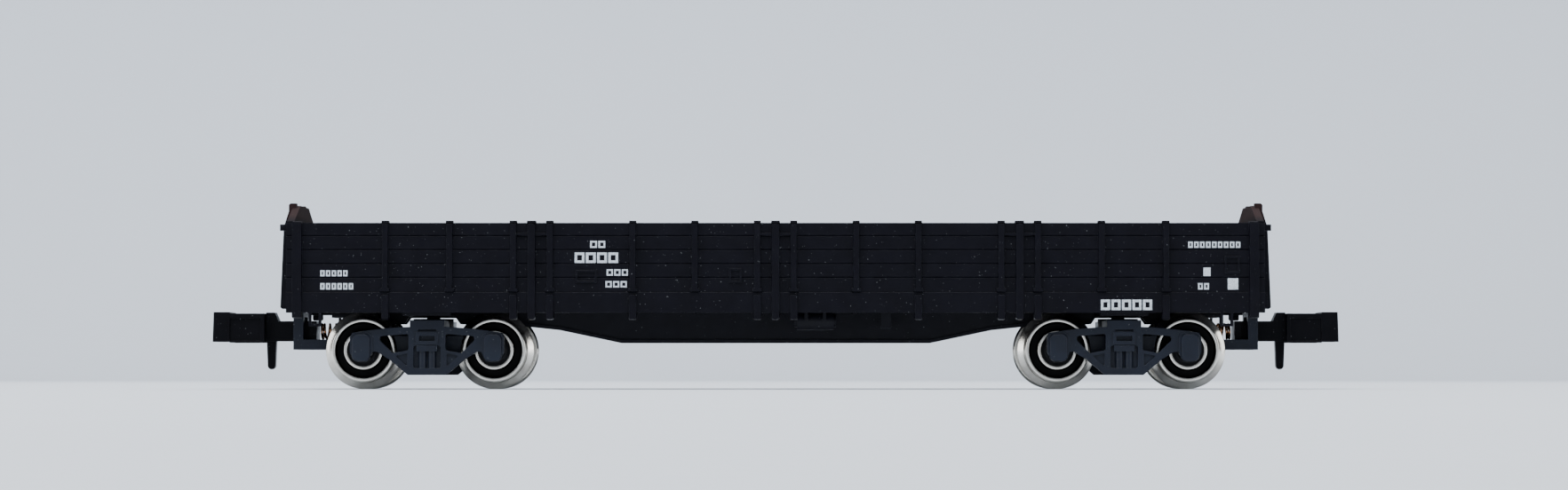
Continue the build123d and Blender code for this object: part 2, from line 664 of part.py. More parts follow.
        # Tongue over the outer axle, and the coupler pocket
        with BuildSketch(end.offset(TONGUE_BOTTOM_Z)):
            with Locations(((BOLSTER_HALF + POCKET_REAR) / 2, 0)):
                Rectangle(POCKET_REAR - BOLSTER_HALF + 2 * POCKET_THIN, 2 * TONGUE_HALF_Y)
        extrude(amount=TONGUE_TOP_Z - TONGUE_BOTTOM_Z)
        pocket_mid = (POCKET_REAR + POCKET_FRONT) / 2
        pocket_long = POCKET_FRONT - POCKET_REAR
        with BuildSketch(end.offset(POCKET_BOTTOM_Z)):
            with Locations((pocket_mid, 0)):
                Rectangle(pocket_long, 2 * POCKET_HALF_Y)
        extrude(amount=POCKET_SIDE_Z - POCKET_BOTTOM_Z)
        with BuildSketch(end.offset(POCKET_BOTTOM_Z + POCKET_THIN)):
            with Locations((pocket_mid, 0)):
                Rectangle(pocket_long - POCKET_WALL, 2 * (POCKET_HALF_Y - POCKET_THIN))
        extrude(amount=POCKET_SIDE_Z - POCKET_BOTTOM_Z, mode=Mode.SUBTRACT)
        with BuildSketch(end.offset(POCKET_BOTTOM_Z)):
            with Locations((POCKET_REAR + POCKET_THIN / 2, 0)):
                Rectangle(POCKET_THIN, 2 * POCKET_HALF_Y)
        extrude(amount=POCKET_REAR_TOP_Z - POCKET_BOTTOM_Z)
        with BuildSketch(end.offset(POCKET_BOTTOM_Z)):
            with Locations((POCKET_FRONT - POCKET_WALL / 2, 0)):
                Rectangle(POCKET_WALL, 2 * POCKET_HALF_Y)
        extrude(amount=POCKET_TOP_Z - POCKET_BOTTOM_Z)
        with BuildSketch(end.offset(MOUTH_BOTTOM_Z)):
            with Locations((POCKET_FRONT - POCKET_WALL / 2, 0)):
                Rectangle(2 * POCKET_WALL, 2 * MOUTH_HALF_Y)
        extrude(amount=MOUTH_TOP_Z - MOUTH_BOTTOM_Z, mode=Mode.SUBTRACT)

        with BuildSketch(end.offset(BOLSTER_BOTTOM_Z)):
            Circle(PIN_HOLE_R)
        extrude(amount=PIVOT_PLATE_TOP_Z - BOLSTER_BOTTOM_Z, mode=Mode.SUBTRACT)
    return frame


def make_bogie_pin(end):
    """A headed pin, pushed up through the bolster into the underframe."""
    with BuildPart() as pin:
        with BuildSketch(end.offset(BOLSTER_BOTTOM_Z - PIN_GAP - PIN_HEAD_THICK)):
            Circle(PIN_HEAD_R)
        extrude(amount=PIN_HEAD_THICK)
        with BuildSketch(end.offset(BOLSTER_BOTTOM_Z - PIN_GAP)):
            Circle(PIN_R)
        extrude(amount=PLATE_TOP_Z - BOLSTER_BOTTOM_Z + PIN_GAP)
    return pin


def make_coupler(end):
    """A box-hook coupler: tail, shank, hook frame and trip pin."""
    side_view = side_of(end)
    with BuildPart() as coupler:
        with BuildSketch(end.offset(COUPLER_Z - SHANK_HALF_Z)):
            with Locations((COUPLER_PIVOT, 0)):
                Rectangle(TAIL_THICK, 2 * TAIL_HALF_Y)
        extrude(amount=2 * SHANK_HALF_Z)
        with BuildSketch(side_view):
            with BuildLine():
                Polyline(
                    (COUPLER_PIVOT, COUPLER_Z - SHANK_HALF_Z),
                    (COUPLER_PIVOT, COUPLER_Z + SHANK_HALF_Z),
                    (SHOULDER_X, COUPLER_Z + SHANK_HALF_Z),
                    (SHOULDER_X + SHOULDER_RUN, SHOULDER_TOP_Z),
                    (HOOK_REAR, SHOULDER_TOP_Z),
                    (HOOK_REAR, COUPLER_Z - SHANK_HALF_Z),
                    close=True,
                )
            make_face()
        extrude(amount=SHANK_HALF_Y, both=True)

        # The hook frame: side cheeks, front plate and the open box between them
        with BuildSketch(side_view):
            with BuildLine():
                Polyline(
                    (HOOK_REAR, HOOK_BOTTOM_Z),
                    (HOOK_REAR, HOOK_TOP_Z),
                    (HEAD_REAR, HOOK_TOP_Z),
                    (HEAD_REAR, HEAD_TOP_Z),
                    (HOOK_TIP - HEAD_LEAN, HEAD_TOP_Z),
                    (HOOK_TIP, HEAD_BOTTOM_Z),
                    (HEAD_REAR, HEAD_BOTTOM_Z),
                    (HEAD_REAR, HOOK_BOTTOM_Z),
                    close=True,
                )
            make_face()
        extrude(amount=HOOK_HALF_Y, both=True)
        for side in (-1, 1):
            with BuildSketch(side_view.offset(side * HOOK_HALF_Y)):
                with Locations(((HOOK_REAR + RIDGE_WIDE + HEAD_REAR) / 2, CHEEK_PANEL_Z)):
                    Rectangle(HEAD_REAR - HOOK_REAR - RIDGE_WIDE, CHEEK_PANEL_TALL)
            extrude(amount=-side * CHEEK_SUNK, mode=Mode.SUBTRACT)
        with BuildSketch(end.offset(HOOK_BOTTOM_Z)):
            with Locations(((HOOK_REAR + HOOK_WALL + HEAD_REAR) / 2, 0)):
                Rectangle(HEAD_REAR - HOOK_REAR - HOOK_WALL, 2 * (HOOK_HALF_Y - HOOK_WALL))
        extrude(amount=HEAD_TOP_Z - HOOK_BOTTOM_Z, mode=Mode.SUBTRACT)
        with BuildSketch(end.offset(HOOK_BOTTOM_Z)):
            with Locations((HOOK_REAR + RIDGE_WIDE / 2, 0)):
                Rectangle(RIDGE_WIDE, 2 * (HOOK_HALF_Y + RIDGE_PROUD))
                Rectangle(RIDGE_WIDE, 2 * HOOK_HALF_Y - HOOK_WALL, mode=Mode.SUBTRACT)
        extrude(amount=HOOK_TOP_Z - HOOK_BOTTOM_Z)
        with BuildSketch(end.offset(NUB_Z)):
            with Locations((HOOK_TIP, 0)):
                Circle(NUB_R)
        extrude(amount=2 * NUB_R)

        # Trip pin, tapered to a round end
        with BuildSketch(side_view):
            with BuildLine():
                Polyline(
                    (TRIP_X - TRIP_HALF_TOP, TRIP_TOP_Z),
                    (TRIP_X - TRIP_HALF_FOOT, TRIP_FOOT_Z + TRIP_HALF_FOOT),
                )
                ThreePointArc(
                    (TRIP_X - TRIP_HALF_FOOT, TRIP_FOOT_Z + TRIP_HALF_FOOT),
                    (TRIP_X, TRIP_FOOT_Z),
                    (TRIP_X + TRIP_HALF_FOOT, TRIP_FOOT_Z + TRIP_HALF_FOOT),
                )
                Polyline(
                    (TRIP_X + TRIP_HALF_FOOT, TRIP_FOOT_Z + TRIP_HALF_FOOT),
                    (TRIP_X + TRIP_HALF_TOP, TRIP_TOP_Z),
                    (TRIP_X - TRIP_HALF_TOP, TRIP_TOP_Z),
                )
            make_face()
        extrude(amount=TRIP_HALF_Y, both=True)
    return coupler


def make_coupler_spring(end):
    """A coil spring behind the coupler's tail."""
    start = end.from_local_coords((COUPLER_PIVOT - SPRING_GAP - SPRING_LENGTH, 0, COUPLER_Z))
    with BuildPart() as spring:
        with BuildLine():
            coil = Helix(
                pitch=SPRING_LENGTH / SPRING_TURNS,
                height=SPRING_LENGTH,
                radius=SPRING_R,
                center=start,
                direction=end.x_dir,
            )
        with BuildSketch(Plane(origin=coil @ 0, z_dir=coil % 0)):
            Circle(SPRING_WIRE_R)
        sweep(is_frenet=True)
    return spring


def axle_plane(x):
    """The plane through an axle's axis, with X across the wagon and Y up from the axis."""
    return Plane(origin=(x, 0, AXLE_Z), x_dir=(0, 1, 0), z_dir=(1, 0, 0))


def turned(x, outline):
    """A solid of revolution about the axle at x, from points of (distance across, radius)."""
    with BuildPart() as piece:
        with BuildSketch(axle_plane(x)):
            with BuildLine():
                Polyline(*outline, close=True)
            make_face()
        revolve(axis=Axis(origin=(x, 0, AXLE_Z), direction=(0, 1, 0)))
    return piece


def wheel_outline(side):
    web_y = WHEEL_FACE_Y - WEB_RECESS
    flange_y = WHEEL_BACK_Y + FLANGE_THICK
    points = [
        (WHEEL_BACK_Y, BUSH_R),
        (WHEEL_BACK_Y, FLANGE_R - FLANGE_TOP_EDGE),
        (WHEEL_BACK_Y + FLANGE_TOP_EDGE, FLANGE_R),
        (flange_y - FLANGE_SLOPE, FLANGE_R),
        (flange_y, FLANGE_R - FLANGE_DROP),
        (flange_y + FLANGE_FILLET, TREAD_R + FILLET_RISE),
        (WHEEL_FACE_Y - TYRE_EDGE, TREAD_R),
        (WHEEL_FACE_Y, TREAD_R - TYRE_EDGE),
        (WHEEL_FACE_Y, RIM_INNER_R),
        (web_y, RIM_INNER_R - WEB_DRAFT),
        (web_y, HUB_RING_R + WEB_DRAFT),
        (WHEEL_FACE_Y, HUB_RING_R),
        (WHEEL_FACE_Y, BUSH_R),
    ]
    return [(side * y, r) for y, r in points]


def bush_outline(side):
    face = WHEEL_FACE_Y - BUSH_RECESS
    points = [
        (WHEEL_BACK_Y, AXLE_R),
        (WHEEL_BACK_Y, BUSH_R),
        (face, BUSH_R),
        (face, BUSH_HUB_R),
        (WHEEL_FACE_Y, BUSH_HUB_R - BUSH_HUB_DRAFT),
        (WHEEL_FACE_Y, AXLE_R),
    ]
    return [(side * y, r) for y, r in points]


def axle_outline():
    half = [
        (JOURNAL_Y - JOURNAL_STEP, AXLE_R),
        (JOURNAL_Y, JOURNAL_R),
        (AXLE_TIP_Y - AXLE_TIP_LONG, JOURNAL_R),
        (AXLE_TIP_Y, 0),
    ]
    return [(-y, r) for y, r in half[::-1]] + half


for name, end in ENDS.items():
    save(make_bogie_frame(end), f"bogie_frame_{name}")
    save(make_bogie_pin(end), f"bogie_pin_{name}")
    save(make_coupler(end), f"coupler_{name}")
    save(make_coupler_spring(end), f"coupler_spring_{name}")

for number, x in enumerate(AXLE_X, start=1):
    save(turned(x, axle_outline()), f"axle_{number}")
    for hand, side in (("left", 1), ("right", -1)):
        save(turned(x, wheel_outline(side)), f"wheel_{number}_{hand}")
        save(turned(x, bush_outline(side)), f"wheel_bush_{number}_{hand}")
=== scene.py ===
import math

import bmesh
import bpy
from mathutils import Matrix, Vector


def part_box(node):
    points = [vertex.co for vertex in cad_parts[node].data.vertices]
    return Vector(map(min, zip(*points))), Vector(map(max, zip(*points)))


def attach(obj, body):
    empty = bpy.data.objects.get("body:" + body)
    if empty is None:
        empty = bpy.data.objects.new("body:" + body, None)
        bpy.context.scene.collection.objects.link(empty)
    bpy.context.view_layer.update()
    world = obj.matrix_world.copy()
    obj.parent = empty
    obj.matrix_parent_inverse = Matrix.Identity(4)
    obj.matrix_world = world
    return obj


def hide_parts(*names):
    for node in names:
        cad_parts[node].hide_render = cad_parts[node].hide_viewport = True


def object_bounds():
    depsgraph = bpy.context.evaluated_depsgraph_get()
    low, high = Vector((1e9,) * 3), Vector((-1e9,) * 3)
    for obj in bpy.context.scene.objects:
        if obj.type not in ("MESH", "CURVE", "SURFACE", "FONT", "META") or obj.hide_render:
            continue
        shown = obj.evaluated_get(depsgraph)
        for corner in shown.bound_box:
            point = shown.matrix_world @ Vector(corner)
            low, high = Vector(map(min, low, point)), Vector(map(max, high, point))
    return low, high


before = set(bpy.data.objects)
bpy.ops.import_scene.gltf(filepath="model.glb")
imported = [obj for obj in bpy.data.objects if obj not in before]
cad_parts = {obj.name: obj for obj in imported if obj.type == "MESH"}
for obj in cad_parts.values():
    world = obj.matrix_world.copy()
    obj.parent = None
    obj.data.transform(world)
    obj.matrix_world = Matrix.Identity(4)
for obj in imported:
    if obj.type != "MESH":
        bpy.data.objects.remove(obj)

# The looks of a 1:150 open wagon. Everything is in metres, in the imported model's own frame.

MM = 0.001
cad_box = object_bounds()
ENDS = (("front", 1), ("rear", -1))
HANDS = (("left", 1), ("right", -1))
WHEELSETS = (1, 2, 3, 4)
AXLE_Z = (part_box("axle_1")[0][2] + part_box("axle_1")[1][2]) / 2


# Materials ---------------------------------------------------------------------------------

DUST = (0.16, 0.17, 0.18)
FINE_GRAIN = 0.05 * MM
SOFT_EDGE = 0.04 * MM
# Width of the band along the edges that carries the painted highlight
SHEEN_EDGE = 1.6 * SOFT_EDGE
# Above the sides the body's finish turns dull between the first two heights, and a reddish painted
# reflection fades into its colour between the other two
DULL_FROM_Z = 14.2 * MM
DULL_FULL_Z = 14.7 * MM
REFLECTION_FROM_Z = 14.7 * MM
REFLECTION_FULL_Z = 15.3 * MM
REFLECTION_SHARE = 0.75
DULL_ROUGHNESS = 0.92


class Shader:
    """A node material under construction, with the few node chains that the finishes share."""

    def __init__(self, name):
        self.material = bpy.data.materials.new(name)
        self.material.use_nodes = True
        self.tree = self.material.node_tree
        self.bsdf = self.tree.nodes["Principled BSDF"]
        self.place = self.add("ShaderNodeTexCoord").outputs["Object"]

    def add(self, kind, **settings):
        node = self.tree.nodes.new(kind)
        for key, value in settings.items():
            if key in node.inputs:
                node.inputs[key].default_value = value
            else:
                setattr(node, key, value)
        return node

    def link(self, source, target):
        self.tree.links.new(source, target)

    def noise(self, size, detail=3.0, roughness=0.55):
        """Noise whose blobs are about size metres across."""
        node = self.add("ShaderNodeTexNoise", Scale=1 / size, Detail=detail, Roughness=roughness)
        self.link(self.place, node.inputs["Vector"])
        return node.outputs["Fac"]

    def ramp(self, source, low, high, to_low, to_high):
        node = self.add("ShaderNodeMapRange")
        for key, value in zip(("From Min", "From Max", "To Min", "To Max"), (low, high, to_low, to_high)):
            node.inputs[key].default_value = value
        self.link(source, node.inputs["Value"])
        return node.outputs["Result"]

    def mix(self, factor, first, second):
        node = self.add("ShaderNodeMix", data_type="RGBA")
        self.link(factor, node.inputs[0])
        for value, socket in ((first, node.inputs[6]), (second, node.inputs[7])):
            if isinstance(value, tuple):
                socket.default_value = (*value, 1)
            else:
                self.link(value, socket)
        return node.outputs[2]

    def soft_edges(self, radius):
        """The normal of a surface whose edges are rounded by radius."""
        node = self.add("ShaderNodeBevel", samples=6, Radius=radius)
        return node.outputs["Normal"]

    def edge_mask(self, radius):
        """1 along the edges and 0 on flat faces."""
        flat = self.add("ShaderNodeNewGeometry").outputs["Normal"]
        dot = self.add("ShaderNodeVectorMath", operation="DOT_PRODUCT")
        self.link(self.soft_edges(radius), dot.inputs[0])
        self.link(flat, dot.inputs[1])
        return self.ramp(dot.outputs["Value"], 0.99, 0.80, 0.0, 1.0)

    def bump(self, height, distance, normal=None):
        node = self.add("ShaderNodeBump", Strength=1.0, Distance=distance)
        self.link(height, node.inputs["Height"])
        if normal:
            self.link(normal, node.inputs["Normal"])
        return node.outputs["Normal"]


def moulded_plastic(name, colour, edge_sheen, roughness, specular, reflection_tint=None):
    """Injection-moulded plastic: faint flow marks, fine grain, specks of dust, and patches along the edges
    painted a little lighter as a painted highlight. A reddish painted reflection, if given, fades in above
    the tops of the sides, where the finish turns dull."""
    s = Shader(name)
    flow = s.ramp(s.noise(2.2 * MM, 4.0), 0.35, 0.65, 0.0, 1.0)
    base = s.mix(flow, tuple(0.70 * c for c in colour), colour)
    polish = s.ramp(s.noise(0.9 * MM, 5.0), 0.3, 0.7, roughness - 0.06, roughness + 0.08)
    # Above the sides a reddish painted reflection fades into the colour
    if reflection_tint:
        height = s.add("ShaderNodeSeparateXYZ")
        s.link(s.place, height.inputs[0])
        base = s.mix(s.ramp(height.outputs["Z"], REFLECTION_FROM_Z, REFLECTION_FULL_Z, 0.0, REFLECTION_SHARE), base, reflection_tint)
        dull = s.add("ShaderNodeMath", operation="MAXIMUM")
        s.link(polish, dull.inputs[0])
        s.link(s.ramp(height.outputs["Z"], DULL_FROM_Z, DULL_FULL_Z, 0.0, DULL_ROUGHNESS), dull.inputs[1])
        polish = dull.outputs[0]
    # Patches along the edges are painted lighter: a painted highlight
    sheen_patch = s.add("ShaderNodeMath", operation="MULTIPLY")
    s.link(s.edge_mask(SHEEN_EDGE), sheen_patch.inputs[0])
    s.link(s.ramp(s.noise(0.8 * MM, 5.0), 0.42, 0.62, 0.0, 0.8), sheen_patch.inputs[1])
    base = s.mix(sheen_patch.outputs[0], base, edge_sheen)
    dust = s.ramp(s.noise(0.16 * MM, 1.0), 0.745, 0.79, 0.0, 0.6)
    s.link(s.mix(dust, base, DUST), s.bsdf.inputs["Base Color"])
    s.link(polish, s.bsdf.inputs["Roughness"])
    s.bsdf.inputs["Specular IOR Level"].default_value = specular
    s.link(s.bump(s.noise(FINE_GRAIN, 2.0), 0.0016 * MM, s.soft_edges(SOFT_EDGE)), s.bsdf.inputs["Normal"])
    return s.material


def bare_metal(name, colour, dull, roughness, grain=0.12 * MM):
    """Metal with patchy tarnish and a fine even grain."""
    s = Shader(name)
    tarnish = s.ramp(s.noise(1.3 * MM, 5.0), 0.40, 0.75, 0.0, 0.7)
    s.link(s.mix(tarnish, colour, dull), s.bsdf.inputs["Base Color"])
    s.bsdf.inputs["Metallic"].default_value = 1.0
    s.link(s.ramp(s.noise(0.5 * MM, 4.0), 0.3, 0.7, roughness - 0.04, roughness + 0.08),
           s.bsdf.inputs["Roughness"])
    s.link(s.bump(s.noise(grain, 3.0), 0.0015 * MM), s.bsdf.inputs["Normal"])
    return s.material


def turned_metal(name, colour, dull, roughness, pitch, axis_x):
    """Plated or turned metal: tool rings round the axle at axis_x and a little tarnish."""
    s = Shader(name)
    tarnish = s.ramp(s.noise(1.3 * MM, 5.0), 0.40, 0.75, 0.0, 0.7)
    s.link(s.mix(tarnish, colour, dull), s.bsdf.inputs["Base Color"])
    s.bsdf.inputs["Metallic"].default_value = 1.0
    s.link(s.ramp(s.noise(0.5 * MM, 4.0), 0.3, 0.7, roughness - 0.04, roughness + 0.08),
           s.bsdf.inputs["Roughness"])
    centre = s.add("ShaderNodeVectorMath", operation="SUBTRACT")
    s.link(s.place, centre.inputs[0])
    centre.inputs[1].default_value = (axis_x, 0, AXLE_Z)
    flat = s.add("ShaderNodeVectorMath", operation="MULTIPLY")
    s.link(centre.outputs[0], flat.inputs[0])
    flat.inputs[1].default_value = (1, 0, 1)
    radius = s.add("ShaderNodeVectorMath", operation="LENGTH")
    s.link(flat.outputs[0], radius.inputs[0])
    rings = s.add("ShaderNodeTexNoise", noise_dimensions="1D", Scale=1 / pitch, Detail=2.0)
    s.link(radius.outputs["Value"], rings.inputs["W"])
    s.link(s.bump(rings.outputs["Fac"], 0.0012 * MM), s.bsdf.inputs["Normal"])
    return s.material


def printed_white(name):
    """Thin pad-printed paint, a little uneven where it lies over the plastic's grain."""
    s = Shader(name)
    thin = s.ramp(s.noise(0.09 * MM, 4.0), 0.30, 0.62, 0.0, 1.0)
    s.link(s.mix(thin, (0.30, 0.34, 0.40), (0.66, 0.72, 0.78)), s.bsdf.inputs["Base Color"])
    s.link(s.ramp(s.noise(0.4 * MM), 0.3, 0.7, 0.45, 0.62), s.bsdf.inputs["Roughness"])
    s.link(s.bump(s.noise(FINE_GRAIN, 2.0), 0.0015 * MM), s.bsdf.inputs["Normal"])
    return s.material


def axle_x(number):
    low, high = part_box(f"axle_{number}")
    return (low[0] + high[0]) / 2


# Each plastic's second colour is the lighter tone of its painted edge highlight
body_black = moulded_plastic("body_black", (0.0034, 0.0034, 0.0064), (0.018, 0.020, 0.027), 0.40, 0.10,
                             # The body's reddish top is a painted reflection
                             reflection_tint=(0.026, 0.013, 0.013))
under_black = moulded_plastic("under_black", (0.0036, 0.0036, 0.0070), (0.016, 0.017, 0.023), 0.46, 0.16)
bogie_blue = moulded_plastic("bogie_blue", (0.0080, 0.0115, 0.0210), (0.034, 0.042, 0.060), 0.42, 0.24)
coupler_black = moulded_plastic("coupler_black", (0.0026, 0.0026, 0.0040), (0.018, 0.018, 0.022),
                                0.36, 0.07)
bush_black = moulded_plastic("bush_black", (0.0045, 0.0045, 0.0062), (0.018, 0.018, 0.020), 0.42, 0.20)
mark_white = printed_white("mark_white")
ballast_grey = bare_metal("ballast_grey", (0.34, 0.34, 0.35), (0.20, 0.18, 0.16), 0.38)
copper_wire = bare_metal("copper_wire", (0.78, 0.42, 0.22), (0.36, 0.18, 0.10), 0.24, 0.05 * MM)


def dress(node, material):
    """Gives a CAD node its finish."""
    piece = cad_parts[node]
    for slot in piece.material_slots:
        slot.material = material
    if not piece.material_slots:
        piece.data.materials.append(material)


dress("body_shell", body_black)
dress("underframe", under_black)
dress("ballast_weight", ballast_grey)
for name, _ in ENDS:
    dress(f"bogie_frame_{name}", bogie_blue)
    dress(f"bogie_pin_{name}", bogie_blue)
    dress(f"coupler_{name}", coupler_black)


# Turned wheelsets --------------------------------------------------------------------------


def new_piece(name, mesh_maker, materials):
    mesh = bpy.data.meshes.new(name)
    bm = bmesh.new()
    mesh_maker(bm)
    bmesh.ops.recalc_face_normals(bm, faces=bm.faces)
    bm.to_mesh(mesh)
    bm.free()
    for material in materials:
        mesh.materials.append(material)
    piece = bpy.data.objects.new(name, mesh)
    bpy.context.scene.collection.objects.link(piece)
    return piece


def rounded(points, radius, steps=4):
    """An outline's corners rounded by short arcs."""
    out = []
    count = len(points)
    for i, corner in enumerate(points):
        before = Vector(points[i - 1]) - Vector(corner)
        after = Vector(points[(i + 1) % count]) - Vector(corner)
        reach = min(radius, 0.45 * before.length, 0.45 * after.length)
        start = Vector(corner) + before.normalized() * reach
        end = Vector(corner) + after.normalized() * reach
        for k in range(steps + 1):
            t = k / steps
            out.append(tuple((1 - t) ** 2 * start + 2 * t * (1 - t) * Vector(corner) + t * t * end))
    return out


def lathe(bm, x, outline, segments):
    """Turns an outline of (distance across, radius) about the axle at x."""
    rings = []
    for k in range(segments):
        angle = math.tau * k / segments
        rings.append([
            bm.verts.new((x + r * math.cos(angle), y, AXLE_Z + r * math.sin(angle)))
            for y, r in outline
        ])
    count = len(outline)
    for k in range(segments):
        here, there = rings[k], rings[(k + 1) % segments]
        for j in range(count):
            face = bm.faces.new((here[j], here[(j + 1) % count], there[(j + 1) % count], there[j]))
            face.smooth = True


# A wheel's radii and the depth of its recessed web, in millimetres
FLANGE_R = 3.44
TREAD_R = 2.83
RIM_INNER_R = 2.48
HUB_RING_R = 1.71
BUSH_R = 1.42
BORE_R = 0.50
WEB_DEPTH = 0.50


def wheel_outline(side, back, face):
    """One wheel's section, from the bore's back round the flange to the bore's face."""
    points = [
        (back, BUSH_R), (back, FLANGE_R - 0.14), (back + 0.12, FLANGE_R), (back + 0.24, FLANGE_R),
        (back + 0.40, FLANGE_R - 0.28), (back + 0.57, TREAD_R + 0.06), (face - 0.10, TREAD_R),
        (face, TREAD_R - 0.10), (face, RIM_INNER_R), (face - 0.40, RIM_INNER_R - 0.05),
        (face - WEB_DEPTH, RIM_INNER_R - 0.14), (face - WEB_DEPTH, HUB_RING_R + 0.13),
        (face - 0.40, HUB_RING_R + 0.05), (face, HUB_RING_R), (face, BUSH_R),
    ]
    return [(side * y * MM, r * MM) for y, r in points]


def bush_outline(side, back, face):
    """A bush's section: a sleeve in the wheel's bore, dished round a small hub."""
    points = [
        (back, BORE_R), (back, BUSH_R), (face - 0.25, BUSH_R), (face - 0.30, 1.10),
        (face - 0.22, 0.95), (face, 0.86), (face, BORE_R),
    ]
    return [(side * y * MM, r * MM) for y, r in points]


def in_web(polygon, axis_x, back, face):
    """Whether a face of a turned wheel lies in the recess between its rim and its hub ring, which gets
    near-black metal as painted shade.
    """
    away = Vector(polygon.center) - Vector((axis_x, 0, AXLE_Z))
    across = abs(away.y) / MM
    radius = math.hypot(away.x, away.z) / MM
    return back + 0.10 < across < face - 0.05 and HUB_RING_R + 0.01 < radius < RIM_INNER_R - 0.01


for number in WHEELSETS:
    x = axle_x(number)
    nickel = turned_metal(f"nickel_{number}", (0.80, 0.77, 0.70), (0.52, 0.48, 0.42), 0.17, 0.045 * MM, x)
    # The recessed web is near-black metal: painted shade and a painted dark reflection
    web_shade_nickel = turned_metal(f"web_{number}", (0.006, 0.006, 0.006), (0.004, 0.004, 0.004), 0.34,
                               0.045 * MM, x)
    steel = turned_metal(f"steel_{number}", (0.55, 0.54, 0.52), (0.34, 0.31, 0.28), 0.26, 0.06 * MM, x)
    dress(f"axle_{number}", steel)
    for hand, side in HANDS:
        low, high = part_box(f"wheel_{number}_{hand}")
        back = min(abs(low[1]), abs(high[1])) / MM
        face = max(abs(low[1]), abs(high[1])) / MM

        wheel = new_piece(
            f"turned_wheel_{number}_{hand}",
            lambda bm: lathe(bm, x, rounded(wheel_outline(side, back, face), 0.05 * MM), 160),
            (nickel, web_shade_nickel),
        )
        for polygon in wheel.data.polygons:
            polygon.material_index = int(in_web(polygon, x, back, face))
        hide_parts(f"wheel_{number}_{hand}")
        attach(wheel, f"wheelset_{number}")

        bush = new_piece(
            f"moulded_bush_{number}_{hand}",
            lambda bm: lathe(bm, x, rounded(bush_outline(side, back, face), 0.04 * MM), 96),
            (bush_black,),
        )
        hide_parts(f"wheel_bush_{number}_{hand}")
        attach(bush, f"wheelset_{number}")


# Coupler springs ---------------------------------------------------------------------------

SPRING_TURNS = 5
WIRE_R = 0.11 * MM
STEPS_PER_TURN = 32
WIRE_SIDES = 12


def wind_spring(bm, low, high):
    """A closed wire tube wound from low to high along X."""
    middle = (Vector(low) + Vector(high)) / 2
    coil_r = (high[2] - low[2]) / 2 - WIRE_R
    length = high[0] - low[0] - 2 * WIRE_R
    steps = SPRING_TURNS * STEPS_PER_TURN
    rings = []
    for k in range(steps + 1):
        t = k / steps
        angle = math.tau * SPRING_TURNS * t
        # The end turns lie closer together than the working ones
        along = low[0] + WIRE_R + length * (t - 0.10 * math.sin(math.tau * t))
        out = Vector((0, math.cos(angle), math.sin(angle)))
        centre = Vector((along, middle.y, middle.z)) + coil_r * out
        rings.append([
            bm.verts.new(centre + WIRE_R * (math.cos(a) * out + math.sin(a) * Vector((1, 0, 0))))
            for a in (math.tau * j / WIRE_SIDES for j in range(WIRE_SIDES))
        ])
    for here, there in zip(rings, rings[1:]):
        for j in range(WIRE_SIDES):
            n = (j + 1) % WIRE_SIDES
            bm.faces.new((here[j], here[n], there[n], there[j])).smooth = True
    bm.faces.new(rings[0])
    bm.faces.new(rings[-1])


for name, _ in ENDS:
    low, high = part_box(f"coupler_spring_{name}")
    spring = new_piece(f"wound_spring_{name}", lambda bm: wind_spring(bm, low, high), (copper_wire,))
    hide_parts(f"coupler_spring_{name}")
    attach(spring, f"coupler_{name}_carrier")


# Printed marks -----------------------------------------------------------------------------

# Rows of plain open boxes stand where a wagon carries its painted data. Each row is its left end,
# its lowest edge, its height, the width of a box and how many there are, in millimetres, as seen
# from that side.
BOX_ROWS = [
    (-39.77, 9.88, 0.52, 0.38, 5),
    (-39.77, 8.72, 0.56, 0.38, 6),
    (-16.20, 12.36, 0.62, 0.60, 2),
    (-17.55, 11.04, 0.92, 0.86, 4),
    (-14.75, 9.93, 0.56, 0.54, 3),
    (-14.85, 8.90, 0.56, 0.54, 3),
    (36.05, 12.37, 0.54, 0.40, 9),
    (36.90, 8.72, 0.56, 0.42, 2),
]
SILL_ROWS = [(28.40, 6.92, 0.92, 0.80, 5)]
# Filled patches: left end, lowest edge, height and width
PATCHES = [(37.38, 9.90, 0.74, 0.62), (39.50, 8.72, 0.98, 0.92)]
BOX_GAP = 0.12
STROKE = 0.24
INK = 0.012
PLANK_Y = 8.70
SILL_Y = 8.85


def print_ring(bm, left, bottom, wide, tall, stroke, side, depth):
    """A raised box of ink, open in the middle unless the stroke fills it."""
    def corners(inset, y):
        x0, x1 = left + inset, left + wide - inset
        z0, z1 = bottom + inset, bottom + tall - inset
        square = ((x0, z0), (x1, z0), (x1, z1), (x0, z1))
        return [bm.verts.new(Vector((-side * x, side * y, z)) * MM) for x, z in square]

    outer_low, outer_high = corners(0, depth), corners(0, depth + INK)
    for k in range(4):
        bm.faces.new((outer_low[k], outer_low[k - 1], outer_high[k - 1], outer_high[k]))
    if 2 * stroke >= min(wide, tall):
        bm.faces.new(outer_low)
        bm.faces.new(outer_high)
        return
    inner_low, inner_high = corners(stroke, depth), corners(stroke, depth + INK)
    for k in range(4):
        bm.faces.new((inner_low[k], inner_low[k - 1], inner_high[k - 1], inner_high[k]))
        bm.faces.new((outer_high[k], outer_high[k - 1], inner_high[k - 1], inner_high[k]))
        bm.faces.new((outer_low[k], outer_low[k - 1], inner_low[k - 1], inner_low[k]))


def print_side(bm, side):
    for rows, depth in ((BOX_ROWS, PLANK_Y), (SILL_ROWS, SILL_Y)):
        for left, bottom, tall, wide, count in rows:
            for k in range(count):
                print_ring(bm, left + k * (wide + BOX_GAP), bottom, wide, tall, STROKE * tall, side, depth)
    for left, bottom, tall, wide in PATCHES:
        print_ring(bm, left, bottom, wide, tall, wide, side, PLANK_Y)


for hand, side in HANDS:
    marks = new_piece(
        f"printed_marks_{hand}",
        lambda bm: print_side(bm, side),
        (mark_white,),
    )
    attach(marks, "body")


